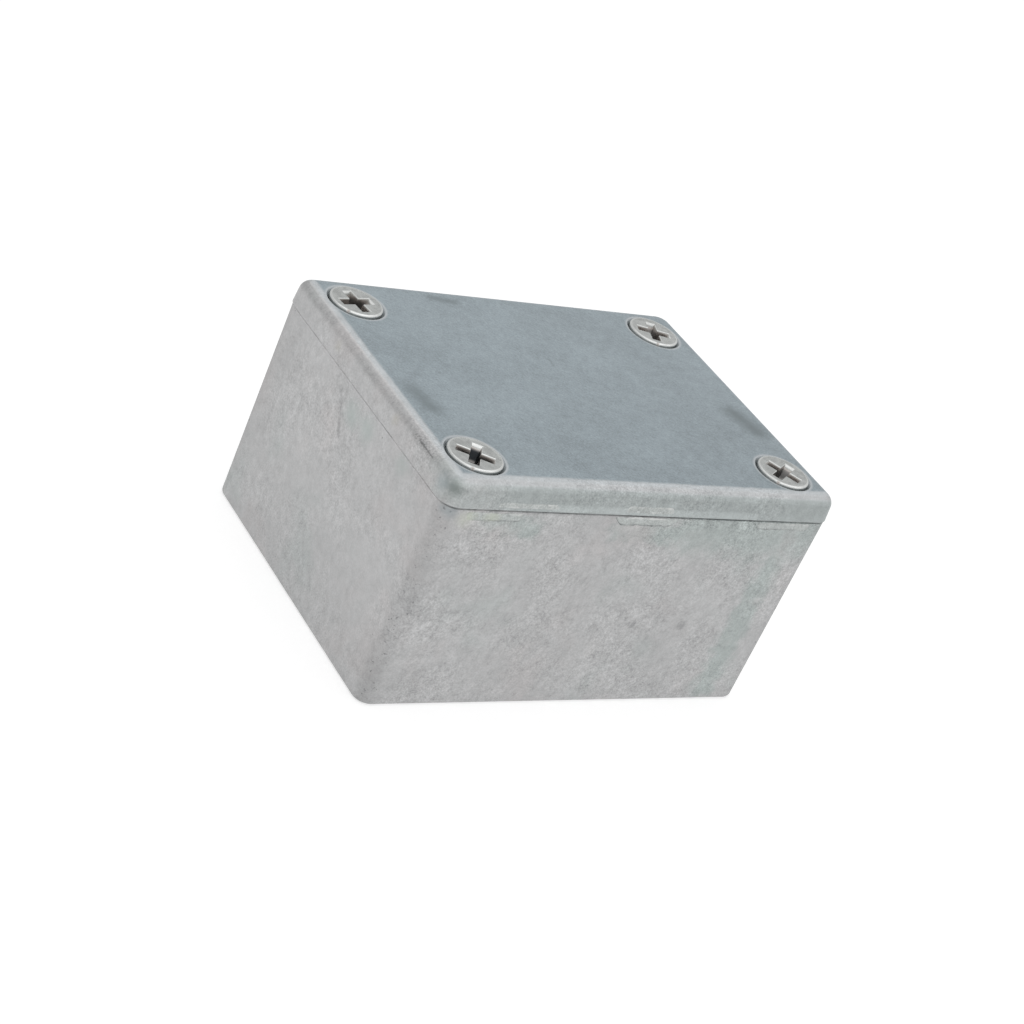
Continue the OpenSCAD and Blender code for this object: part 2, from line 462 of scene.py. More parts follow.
@dataclass(frozen=True)
class BaseFinish(CastSkin):
    """Skin of the base: worn darker corners, painted shade in the seam, green stains, few pits, threaded post
    holes.
    """

    ragged: Pattern = Pattern(1.6, 3.0, 0.65)
    front_y: Span = (-17.6, -18.2)
    left_x: Span = (-23.8, -24.4)
    corner_reach: float = 1.0
    scuff_x: Span = (2.0, 7.0)
    scuff_z: Span = (22.8, 24.2)
    low_z: Span = (11.0, 1.5)
    far_y: Span = (8.0, 18.0)
    rim_z: Span = (SEAM_Z - 0.45, SEAM_Z - 0.1)
    stains: tuple[Streak, ...] = (
        Streak((7.0, 23.6), (22.0, 23.0), 5.0, 1.0, 4.0),
        Streak((19.9, 19.5), (19.6, 2.0), 2.7, 0.54, 4.0),
        Streak((-20.0, 23.4), (-14.0, 22.6), 1.8, 0.36, 4.0),
        Streak((-3.0, 23.0), (6.0, 22.6), 1.8, 0.36, 4.0),
    )
    smears: tuple[Streak, ...] = (
        Streak((3.5, 22.8), (2.3, 21.2), 0.7, 0.0, 1.2, 0.22),
        Streak((2.2, 20.6), (1.2, 19.0), 0.4, 0.0, 1.2, 0.22),
    )
    pits: tuple[Streak, ...] = (
        Streak((4.95, 10.7), (4.95, 10.7), 0.45, 0.045, 2.2, 0.32),
        Streak((11.5, 10.6), (11.5, 10.6), 0.9, 0.09, 2.2, 0.32),
        Streak((10.6, 12.4), (10.6, 12.4), 0.45, 0.045, 2.2, 0.32),
    )
    spots: tuple[Spot, ...] = (
        Spot((-24.5, -18.7, 24.2), 1.5, (0.30, 0.335, 0.35), 0.7),
        Spot((-22.4, -18.95, 23.5), 1.6, (0.48, 0.50, 0.43), 0.5),
        Spot((-25.3, 0.4, 22.3), 2.4, (0.398, 0.440, 0.428), 0.7),
        Spot((-25.3, -2.8, 22.7), 2.2, (0.398, 0.440, 0.428), 0.7),
        Spot((-25.3, -10.4, 23.7), 2.0, (0.390, 0.422, 0.412), 0.6),
    )
    hole_r: Span = (1.9, 1.82)
    thread_height: float = 4.0

    def material(self) -> bpy.types.Material:
        """Makes the material.

        Returns:
            The material.
        """
        tree = MaterialTree("cast_base_skin")
        x, y, z = tree.mm
        ragged = tree.noise(self.ragged)
        front, left = y.step(*self.front_y), x.step(*self.left_x)
        tone, grain = self.tone(tree)
        creases = self.creases(tree)
        scuffed = z.step(*self.scuff_z) * x.step(*self.scuff_x) * front
        # The left face is made a little lighter overall: painted light
        tone = tone + (tone - 1.0) * (scuffed - left * 0.2) + left * 0.015 - creases * (0.10 - left * 0.04)
        inner = [half - self.corner_reach for half in BASE_HALF]
        corner = (abs(x) - inner[0]).lesser(abs(y) - inner[1])
        # Near the corners the skin is darker and the flecks crowd
        worn = (corner + ragged * 2.4).step(-1.4, 0.4)
        flecks = self.flecks(tree, worn)
        pits, smears = strongest(self.pits, x, z, ragged) * front, strongest(self.smears, y, z, ragged) * left
        # Dark flecks, pits and smears, with painted shade in the seam
        dirt_and_shade = (flecks * 0.45).greater(self.seam_shade(tree, front)).greater(pits.greater(smears))
        shaded = (z.step(*self.low_z) * 0.055).greater(y.step(*self.far_y) * 0.05) * left
        shaded = shaded + z.step(*self.rim_z) * front * 0.06
        lit = tone + self.seam_lip_light(tree, left) - worn * 0.14 - shaded
        skin = self.colour(tree, lit, strongest(self.stains, x, z, ragged) * front)
        colour = tree.blend(dirt_and_shade, self.spotted(tree, ragged, skin), self.dirt_and_shade)
        rough = self.rough + grain * self.grain_rough + flecks * 0.1
        height = grain * 0.6 - flecks * 0.8 - creases * 0.7 + self.hole_thread(tree)
        return tree.metal(colour, rough, tree.bump(height, self.cast_depth, self.cast_bump))

    def hole_thread(self, tree: MaterialTree) -> Shade:
        """Height of the thread ridges, a wave up each post hole."""
        wave = (tree.mm[2] * (2.0 * math.pi / THREAD_PITCH)).sine()
        return wave * self.from_screw(tree).step(*self.hole_r) * self.thread_height


@dataclass(frozen=True)
class LidFinish(CastSkin):
    """Skin of the lid: linished blue-grey top, light edge, darker sides, smudges and dark countersinks."""

    # Blue-grey of the linished top, partly a painted reflection of a darker surround
    top: Colour = (0.257, 0.300, 0.323)
    # Light colour of the worn edge band, partly a painted highlight; also the ring round each countersink
    edge_wear_and_highlight: Colour = (0.450, 0.470, 0.481)
    # Darker grey-green of the front side: painted shade
    front: Colour = (0.369, 0.398, 0.396)
    moss: Colour = (0.148, 0.176, 0.186)
    ragged: Pattern = Pattern(0.8, 3.0, 0.7)
    brush_line: Pattern = Pattern(0.3, 2.0, 0.6, 0.45)
    brushed_over: tuple[Pattern, ...] = (
        Pattern(0.2, 2.0, 0.65, 0.95), Pattern(1.4, 3.0, 0.6, 0.34), Pattern(9.0, 3.0, 0.5, 0.34)
    )
    linish: Point = (0.5, -0.87, 0.0)
    linish_stretch: float = 2.0
    outside_z: Span = (SEAM_Z - 0.02, SEAM_Z + 0.02)
    flat_z: Span = (27.3, 27.5)
    near_in: Span = (1.7, 2.25)
    far_in: Span = (0.55, 0.95)
    edge_in: Span = (1.0, 1.5)
    front_edge_y: Span = (-16.6, -17.4)
    front_y: Span = (-17.0, -18.0)
    front_side_y: Span = (-17.2, -17.8)
    left_x: Span = (-23.2, -24.2)
    left_lip_x: Span = (-24.8, -25.1)
    left_green_y: Span = (-11.0, -17.0)
    grey_end_x: Span = (-17.0, -21.0)
    front_shade_z: Span = (24.85, 25.7)
    shadow_x: Span = (2.0, 22.0)
    shadow_y: Span = (4.0, -16.0)
    near_y: Span = (4.0, -10.0)
    hole_r: float = 3.3
    sink_z: Span = (27.35, 26.7)
    sink_foot_z: Span = (25.6, 25.8)
    pale_run: Streak = Streak((-12.0, 25.3), (14.0, 25.3), 0.5, 0.25, 0.7, 0.17)
    scratch: Streak = Streak((-11.0, 27.12), (-13.8, 27.08), 0.12, 0.0, 0.2, 0.55)
    smudges: tuple[Streak, ...] = (
        Streak((-21.5, -2.8), (-20.9, -5.8), 2.3, -0.3, 2.0, 0.78),
        Streak((21.3, -2.3), (22.3, -5.8), 2.6, -0.3, 2.0, 0.95),
        Streak((-9.3, 16.8), (-6.4, 16.3), 1.2, -0.3, 2.0, 0.75),
        Streak((0.6, 6.6), (0.3, 4.6), 0.45, -0.3, 2.0, 0.5),
    )
    spots: tuple[Spot, ...] = (
        Spot((-24.85, -18.3, 26.75), 1.7, (0.17, 0.195, 0.185), 0.75),
        Spot((-25.15, -17.0, 26.4), 1.6, (0.30, 0.34, 0.355), 0.6),
        Spot((-25.2, 7.0, 26.2), 1.0, (0.42, 0.405, 0.34), 0.3),
        Spot((-25.2, -6.5, 26.4), 1.0, (0.42, 0.405, 0.34), 0.3),
    )

    def material(self) -> bpy.types.Material:
        """Makes the material: sides, light edge and linished top, then smudges, spots, dirt and painted shade on
        them.

        Returns:
            The material.
        """
        tree = MaterialTree("cast_lid_skin")
        x, y, z = tree.mm
        tone, grain = self.tone(tree)
        ragged = tree.noise(self.ragged)
        near = (LID_HALF[0] + x).lesser(LID_HALF[1] + y) + ragged * 0.4
        far = (LID_HALF[0] - x).lesser(LID_HALF[1] - y) + ragged * 0.3
        top = near.step(*self.near_in) * (z.step(*self.flat_z) * far.step(*self.far_in))
        _, lean_y, up = tree.normal()
        front = lean_y.step(-0.45, -0.75) * y.step(*self.front_y)
        # The light edge band follows the surface's tilt: worn metal and partly a painted highlight
        along = y.step(*self.front_edge_y) * 0.4
        edge_wear_and_highlight = near.step(*self.edge_in) * up.step(0.05, 0.4) * (1.0 - along) + up.step(0.6, 0.85) * along
        edge_wear_and_highlight = edge_wear_and_highlight * z.step(*self.outside_z)
        worn_and_highlit = tree.blend(edge_wear_and_highlight, self.sides(tree, tone, ragged, up, front), tree.scaled(self.edge_wear_and_highlight, tone))
        topped = tree.blend(top, worn_and_highlit, self.linished_top_and_reflection(tree))
        axis = self.from_screw(tree)
        # A worn light ring round each countersink, partly a painted highlight
        ring_wear_and_highlight = tree.blend(axis.step(self.hole_r + 0.35, self.hole_r + 0.05) * top * 0.7, topped, self.edge_wear_and_highlight)
        smudged = tree.blend(strongest(self.smudges, x, y, ragged) * top, ring_wear_and_highlight, self.moss)
        flecks = self.flecks(tree, edge_wear_and_highlight * 0.4)
        # Painted shade down each countersink hole
        sunk = axis.step(self.hole_r + 0.03, self.hole_r - 0.03) * z.step(*self.sink_z) * z.step(*self.sink_foot_z)
        scratch = self.scratch.strength(y, z, ragged) * x.step(*self.left_x)
        seam_shading = self.seam_shade(tree, front)
        # Dark flecks and the scratch, with painted shade in the seam and the countersinks
        dirt_and_shade = (flecks * (0.4 - top * 0.32)).greater(seam_shading).greater(sunk * 0.55).greater(scratch)
        colour = tree.blend(dirt_and_shade, self.spotted(tree, ragged, smudged), self.dirt_and_shade)
        rough = self.rough - top * 0.10 + grain * self.grain_rough
        height = grain * (0.6 - top * 0.45) - flecks * (0.8 - top * 0.6)
        return tree.metal(colour, rough, tree.bump(height, self.cast_depth, self.cast_bump))

    def sides(self, tree: MaterialTree, tone: Shade, ragged: Shade, up: Shade, front: Shade) -> Socket:
        """Colour of the sides: painted shade where they round over, and a pale band on the front.

        The front is a darker grey-green, painted shade that deepens upwards and is lighter at the left end.

        Args:
            tree: The material's tree.
            tone: Lightness about 1.
            ragged: Noise that breaks the band.
            up: Upward part of the surface's direction.
            front: 1 on the front.

        Returns:
            The colour.
        """
        x, y, z = tree.mm
        outside = z.step(*self.outside_z)
        on_front = y.step(*self.front_side_y)
        # Painted shade and light by the surface's tilt, on the front and where the other sides round over
        front_shade_and_light = up.step(0.78, 0.9) * up.step(0.995, 0.94) * 0.15 - abs(up - 0.55).step(0.25, 0.05) * 0.09
        shaded = up.step(0.2, 0.65) * up.step(0.995, 0.92) * 0.2 * (1.0 - on_front) + front_shade_and_light * on_front
        greened = (front * 0.5).greater(x.step(*self.left_x) * y.step(*self.left_green_y) * 0.6) * outside
        pale_and_highlight = self.seam_lip_light(tree, x.step(*self.left_lip_x))
        skin = self.colour(tree, tone + pale_and_highlight - shaded, greened)
        # Painted shade: the front side darkens going up, less the pale band
        front_shade_and_pale_band = z.step(*self.front_shade_z) * 0.08 - self.pale_run.strength(x, z, ragged)
        lit = tree.scaled(self.front, tone + 0.05 - front_shade_and_pale_band - front_shade_and_light)
        return tree.blend(front * outside * (0.9 - x.step(*self.grey_end_x) * 0.5), skin, lit)

    def linished_top_and_reflection(self, tree: MaterialTree) -> Socket:
        """Colour of the top: fine brush lines over grain, blotches and clouds, darker to the front and right.

        Its blue-grey is partly a painted reflection, and the darkening to the front and right is painted shadow.

        Args:
            tree: The material's tree.

        Returns:
            The colour.
        """
        x, y, _ = tree.mm
        lines = tree.noise(self.brush_line, tree.drawn_out(self.linish, self.linish_stretch))
        brushed = sum((tree.noise(pattern) for pattern in self.brushed_over), 1.0 + lines)
        shadow = x.step(*self.shadow_x) * y.step(*self.shadow_y) * 0.04 + y.step(*self.near_y) * 0.035
        return tree.scaled(self.top, brushed - shadow)


@dataclass(frozen=True)
class GateFinish(CastSkin):
    """Broken gate metal: grittier than the skin round it, with a dark edge, a pale rim and pale specks."""

    # The dark edge is dirt and painted shadow, and the pale rim partly a painted highlight
    metal_grey: Colour = (0.430, 0.452, 0.445)
    pale_and_highlight: Colour = (0.60, 0.61, 0.60)
    grit: Pattern = Pattern(0.3, 2.0, 0.6)
    gaps: Pattern = Pattern(1.2, 2.0, 0.5)
    speck: Pattern = Pattern(0.22, 1.0, 0.5)
    rough: float = 0.5
    cast_depth: float = 0.04
    spots: tuple[Spot, ...] = (
        Spot((-22.4, -19.0, 23.7), 1.8, (0.50, 0.525, 0.44), 0.65),
        Spot((-19.4, -19.0, 23.9), 1.6, (0.50, 0.525, 0.44), 0.55),
    )

    def material(self) -> bpy.types.Material:
        """Makes the material.

        Returns:
            The material.
        """
        tree = MaterialTree("gate_metal")
        tone, grain = self.tone(tree)
        grit, gaps = tree.noise(self.grit), tree.noise(self.gaps)
        face = self.spotted(tree, grit, tree.scaled(self.metal_grey, tone + grit * 0.6))
        rim_highlighted = tree.blend(tree.attribute("rim") * (0.2 + gaps * 4.0), face, self.pale_and_highlight)
        footed = tree.blend(tree.attribute("foot") * (0.32 + gaps * 1.6), rim_highlighted, self.dirt_and_shade)
        colour = tree.blend(tree.noise(self.speck).step(0.14, 0.22) * 0.5, footed, self.pale_and_highlight)
        normal = tree.bump(grit + grain, self.cast_depth, self.cast_bump)
        return tree.metal(colour, self.rough + grit * self.grain_rough, normal)


@dataclass(frozen=True)
class PlatedSteel:
    """Plated steel of the screws: dull on the flat, light on worn edges, darker in the recess and the thread."""

    # Plate grey set darker than bare plating, a painted reflection of a darker surround
    plate: Colour = (0.372, 0.384, 0.376)
    dull: Colour = (0.290, 0.300, 0.294)
    # Light colour of worn edges, also a painted highlight on the rim
    light_wear_and_highlight: Colour = (0.72, 0.73, 0.72)
    # Grime colours, from pale to black, also painted shade in the recess, the nick and the thread
    pale_grime_and_shade: Colour = (0.42, 0.39, 0.37)
    dirt_and_shade: Colour = (0.19, 0.185, 0.18)
    black_dirt_and_shade: Colour = (0.03, 0.033, 0.036)
    stain: Pattern = Pattern(0.9, 3.0, 0.65)
    grain: Pattern = Pattern(0.15, 2.0, 0.6)
    rough: float = 0.27
    depth: float = 0.02
    bump: float = 0.5

    def material(self) -> bpy.types.Material:
        """Makes the material.

        Returns:
            The material.
        """
        tree = MaterialTree("plated_steel")
        grime_and_shade, wear_and_highlight = tree.attribute("grime_and_shade"), tree.attribute("wear_and_highlight")
        stain, grain = tree.noise(self.stain), tree.noise(self.grain)
        plate = tree.blend(stain.step(-0.12, 0.16), self.plate, self.dull)
        worn_and_highlit = tree.blend(wear_and_highlight * (0.9 + stain), plate, self.light_wear_and_highlight)
        pale_grime_and_shade = (grime_and_shade * (1.0 + stain) - wear_and_highlight * 0.5).step(0.05, 0.45) * (0.85 + stain)
        grimed_and_shaded = tree.blend(pale_grime_and_shade, tree.scaled(worn_and_highlit, 1.0 + grain * 0.4), self.pale_grime_and_shade)
        dirtied_and_shaded = tree.blend(grime_and_shade.step(0.6, 1.0) * 0.9, grimed_and_shaded, self.dirt_and_shade)
        colour = tree.blend(grime_and_shade.step(1.0, 1.6), dirtied_and_shaded, self.black_dirt_and_shade)
        normal = tree.bump(grain + stain * 0.6, self.depth, self.bump)
        return tree.metal(colour, self.rough + stain * 0.2 + grime_and_shade * 0.1, normal)


# Meshes


def closed_surface(
    name: str, rings: np.ndarray, poles: np.ndarray, marks: Mapping[str, np.ndarray], crease: float
) -> Piece:
    """Makes a closed mesh of rings from a first pole to a last pole.

    The rings run out from the first pole and each goes round it anticlockwise seen from outside. Fans of
    triangles close the two ends, and quads join each ring to the next and its last column to its first.

    Args:
        name: Name of the piece.
        rings: Points in metres, by ring, column and axis.
        poles: First and last pole.
        marks: Float attributes by ring and column. Each pole takes the value of the ring beside it.
        crease: Angle in degrees past which an edge is sharp.

    Returns:
        The object, linked to the scene.
    """
    rows, columns = rings.shape[:2]
    points = np.concatenate([poles[:1], rings.reshape(-1, 3), poles[1:]])
    index = 1 + np.arange(rows * columns).reshape(rows, columns)
    ahead = np.roll(index, -1, axis=1)
    first = np.stack([np.zeros(columns, int), index[0], ahead[0]], axis=1)
    last = np.stack([np.full(columns, len(points) - 1), ahead[-1], index[-1]], axis=1)
    quads = np.stack([index[:-1], index[1:], ahead[1:], ahead[:-1]], axis=-1).reshape(-1, 4)
    mesh = bpy.data.meshes.new(name)
    mesh.from_pydata(points.tolist(), [], [*first.tolist(), *quads.tolist(), *last.tolist()])
    mesh.polygons.foreach_set("use_smooth", np.ones(len(mesh.polygons), bool))
    mesh.validate()
    for label, values in marks.items():
        whole = np.concatenate([values[0, :1], values.ravel(), values[-1, :1]])
        mesh.attributes.new(label, "FLOAT", "POINT").data.foreach_set("value", whole.astype(np.float32))
    mesh.set_sharp_from_angle(angle=math.radians(crease))
    return linked(name, mesh)


def linked(name: str, data: bpy.types.ID) -> Piece:
    """Makes an object of a mesh, lamp or camera and links it to the scene."""
    bpy.context.scene.collection.objects.link(made := bpy.data.objects.new(name, data))
    return made


def smooth_step(values: np.ndarray, start: float, end: float) -> np.ndarray:
    """Goes from 0 at start to 1 at end along a cubic."""
    t = np.clip((values - start) / (end - start), 0.0, 1.0)
    return t * t * (3.0 - 2.0 * t)


# Sub-assemblies


@dataclass(frozen=True)
class ScrewState:
    """How a screw was left: recess turn and nick place in degrees, and share of packed dirt and painted shade."""

    corner: Corner
    turn: float
    nick: float
    dirt_and_shade: float


@dataclass
class LidScrew:
    """One countersunk screw with a cross recess and a rolled thread, from the top of its head."""

    head_r: float = 3.0
    edge_r: float = 0.2
    rim: float = 0.5
    rim_middle: float = 0.4
    neck: float = 1.75
    length: float = 12.7
    major_r: float = 1.75
    minor_r: float = 1.34
    blank_r: float = 1.55
    end_rings: tuple[float, ...] = (0.9, 0.45)
    crest: float = 0.125
    root: float = 0.75
    run_out: Span = (0.2, 0.9)
    tip_chamfer: float = 0.4
    wing_reach: float = 2.1
    wing_half: float = 0.64
    wing_floor: float = 1.6
    wing_lean: float = 1.7
    wall_lean: float = 7.0
    ramp_fade: float = 0.15
    bevel: float = 0.09
    bevel_lean: float = 1.2
    core_r: float = 0.78
    core_lean: float = 4.0
    recess_depth: float = 1.9
    dish: float = 0.04
    dish_slope: float = 0.3
    nick_depth: float = 0.12
    nick_width: float = 3.2
    nick_fade: float = 0.08
    wall_grime_shade: Span = (0.06, 0.16)
    ramp_grime_shade: Span = (0.25, 0.8)
    floor_grime_shade: Span = (0.5, 1.2)
    packed_from: Span = (0.25, 0.6)
    packed_to: Span = (1.75, 1.2)
    packed_side: Span = (-0.2, 0.6)
    dirt_side: float = 48.0
    worn_depth: float = 0.09
    worn_tip: float = 0.34
    worn_from: float = 0.05
    rim_highlight: Place = (268.0, 42.0)
    pole_r: float = 0.03
    recess_rings: int = 80
    margin: float = 0.1
    flat_r: float = 2.35
    side_rings: int = 6
    shank_rings: int = 112
    columns: int = 360
    crease: float = 40.0

    def recess(self, across: np.ndarray, along: np.ndarray) -> tuple[np.ndarray, np.ndarray]:
        """Shape of the cross recess.

        Each wing is the least of a ramp in from its tip, a bevel and then a steep wall in from its side, and its
        floor. The core is a steep cone about the axis. The recess is the deepest of the two wings and the core,
        never above the head.

        Args:
            across: Distance from the axis along one wing.
            along: Distance from the axis along the other.

        Returns:
            Depth below the head, and 1 on the ramps at the tips of the wings.
        """
        near, far = np.sort(np.abs([across, along]), axis=0)
        tip = (self.wing_reach - far) * self.wing_lean
        side = self.wing_half - near
        wall = self.bevel * self.bevel_lean + (side - self.bevel) * self.wall_lean
        flank = np.maximum(side * self.bevel_lean, wall)
        wing = np.minimum(np.minimum(tip, flank), self.wing_floor)
        core = np.minimum((self.core_r - np.hypot(across, along)) * self.core_lean, self.recess_depth)
        ramp = smooth_step(flank - tip, 0.0, self.ramp_fade) * (core < tip)
        return np.maximum(np.maximum(wing, core), 0.0), ramp

    def thread(self, z: np.ndarray, angle: np.ndarray) -> np.ndarray:
        """Radius of the thread.

        A right-hand helix rises one pitch a turn. Its height goes from 1 on a narrow crest down straight
        flanks to 0 on a wider root, and fades into the plain blank below the head.

        Args:
            z: Height.
            angle: Angle about the axis in radians.

        Returns:
            Radius.
        """
        phase = np.mod(z / THREAD_PITCH - angle / (2.0 * np.pi), 1.0)
        from_crest = np.abs(2.0 * phase - 1.0)
        height = np.clip((self.root - from_crest) / (self.root - self.crest), 0.0, 1.0)
        cut = self.minor_r + (self.major_r - self.minor_r) * height
        fade = smooth_step(-z, *(self.neck + down for down in self.run_out))
        return self.blank_r + (cut - self.blank_r) * fade

    def surface(self, state: ScrewState) -> Grid:
        """Works out the screw's surface.

        The top is a shallow dish with the recess, whose rim has one small nick. Below it come the rounded edge,
        the countersunk cone, the threaded shank and the flat end.

        Args:
            state: How the screw was left.

        Returns:
            Rings of points, the two poles, the strength of grime and painted shade in the recess, the nick and the
            thread, and where the plating is worn or has a painted highlight.
        """
        angle = np.arange(self.columns) * (2.0 * np.pi / self.columns)
        flat = self.head_r - self.edge_r
        recess_r = np.linspace(self.pole_r, self.wing_reach + self.margin, self.recess_rings)
        top_r = np.concatenate([recess_r, np.linspace(self.flat_r, flat, self.side_rings)])
        share = np.linspace(0.0, 1.0, self.side_rings + 1)[1:]
        arc = share * np.pi / 2.0
        shank_z = np.linspace(-self.neck - self.margin, -self.length + self.tip_chamfer, self.shank_rings)
        end_r = np.array([self.minor_r, *self.end_rings])
        rim_start, rim_end = len(top_r), len(top_r) + len(arc)
        threaded = slice(-len(shank_z) - len(end_r), -len(end_r))
        sections = (
            (top_r, np.zeros_like(top_r)),
            (flat + self.edge_r * np.sin(arc), self.edge_r * (np.cos(arc) - 1.0)),
            ([self.head_r] * 2, [-self.rim_middle, -self.rim]),
            (self.head_r + (self.blank_r - self.head_r) * share, -self.rim - (self.neck - self.rim) * share),
            (np.zeros_like(shank_z), shank_z),
            (end_r, np.full_like(end_r, -self.length)),
        )
        r, z = (np.outer(np.concatenate(rows), np.ones_like(angle)) for rows in zip(*sections))
        r[threaded] = self.thread(z[threaded], angle)

        turned = angle - math.radians(state.turn)
        depth, ramp = self.recess(r * np.cos(turned), r * np.sin(turned))
        dish = self.dish * smooth_step(r, flat, flat - self.dish_slope)
        depth[rim_start:], dish[rim_start:] = 0.0, 0.0
        aside = np.mod(angle - math.radians(state.nick) + np.pi, 2.0 * np.pi) - np.pi
        notch = np.exp(-((aside / math.radians(self.nick_width)) ** 2))
        notch = notch * smooth_step(r, flat - self.nick_fade, flat + self.nick_fade)
        notch[rim_end:] = 0.0
        # Grime and painted shade in the recess, and painted shade in the nick
        grime_and_shade = np.maximum(self.dirtied_and_shaded(depth, ramp, angle, state.dirt_and_shade), notch * 0.9)
        # Painted shade in the roots of the thread
        grime_and_shade[threaded] = (self.major_r - r[threaded]) / (self.major_r - self.minor_r) * 0.6
        # Lips of the recess are worn, more widely on the tip ramps, where the wear is partly a painted highlight
        worn = self.worn_depth + (self.worn_tip - self.worn_depth) * ramp
        wear_and_highlight = smooth_step(depth, 0.0, self.worn_from) * smooth_step(depth / worn, 1.0, 0.5)
        # The rim is worn all round, with a painted highlight toward one side
        highlight_at, highlight_spread = (math.radians(v) for v in self.rim_highlight)
        wear_and_highlight[rim_start - 1:rim_end - 1] = 0.35 + 0.5 * np.exp(-(((angle - highlight_at) / highlight_spread) ** 2))
        wear_and_highlight *= 1.0 - notch
        down = depth + dish + notch * self.nick_depth
        rings = np.stack([r * np.cos(angle), r * np.sin(angle), z - down], axis=-1)
        poles = np.array([[0.0, 0.0, -self.recess_depth], [0.0, 0.0, -self.length]])
        return rings, poles, {"grime_and_shade": grime_and_shade, "wear_and_highlight": wear_and_highlight}

    def dirtied_and_shaded(self, depth: np.ndarray, ramp: np.ndarray, angle: np.ndarray, dirt_and_shade: float) -> np.ndarray:
        """Grime and painted shade in the recess: on its walls, on its floor, and packed in one side of it.

        Args:
            depth: Depth below the head.
            ramp: 1 on the ramps at the tips of the wings.
            angle: Angle about the axis in radians.
            dirt_and_shade: Share of packed dirt and painted shade.

        Returns:
            Strength of the grime and painted shade.
        """
        wall_grime_and_shade = smooth_step(depth, *self.wall_grime_shade) * (1.0 - ramp) + smooth_step(depth, *self.ramp_grime_shade) * ramp
        sided = smooth_step(np.cos(angle - math.radians(self.dirt_side)), *self.packed_side)
        packed = smooth_step(depth, *self.packed_from) * smooth_step(depth, *self.packed_to) * sided * dirt_and_shade
        return 0.6 * wall_grime_and_shade + packed + 0.1 * smooth_step(depth, *self.floor_grime_shade)


@dataclass
class LidScrews:
    """The four screws that hold the lid, each left in its own state."""

    states: tuple[ScrewState, ...] = (
        ScrewState(Corner.FRONT_LEFT, 56.0, 236.0, 1.0),
        ScrewState(Corner.FRONT_RIGHT, 32.0, 223.0, 0.6),
        ScrewState(Corner.BACK_LEFT, 8.0, 226.0, 0.3),
        ScrewState(Corner.BACK_RIGHT, 70.0, 248.0, 0.3),
    )
    screw: LidScrew = field(default_factory=LidScrew)
    finish: PlatedSteel = field(default_factory=PlatedSteel)
    node: str = "lid_screws"

    def build(self) -> list[Piece]:
        """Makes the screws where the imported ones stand.

        Returns:
            The screws.
        """
        _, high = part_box(self.node)
        material = self.finish.material()
        head_r = self.screw.head_r * MM
        made = []
        for state in self.states:
            side_x, side_y = state.corner.value
            seat = np.array([side_x * (high.x - head_r), side_y * (high.y - head_r), high.z])
            rings, poles, marks = self.screw.surface(state)
            name = f"lid_screw_{state.corner.name.lower()}"
            piece = closed_surface(name, rings * MM + seat, poles * MM + seat, marks, self.screw.crease)
            piece.data.materials.append(material)
            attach(piece, Body.LID.value)
            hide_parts(self.node)
            made.append(piece)
        return made


@dataclass(frozen=True)
class CastFace:
    """A casting's front face: a place and its lean, and its gates' height, way from the seam, dirt and painted
    shadow.
    """

    y: float
    z: float
    lean: float
    proud: float
    away: float
    dirt_and_shade: float


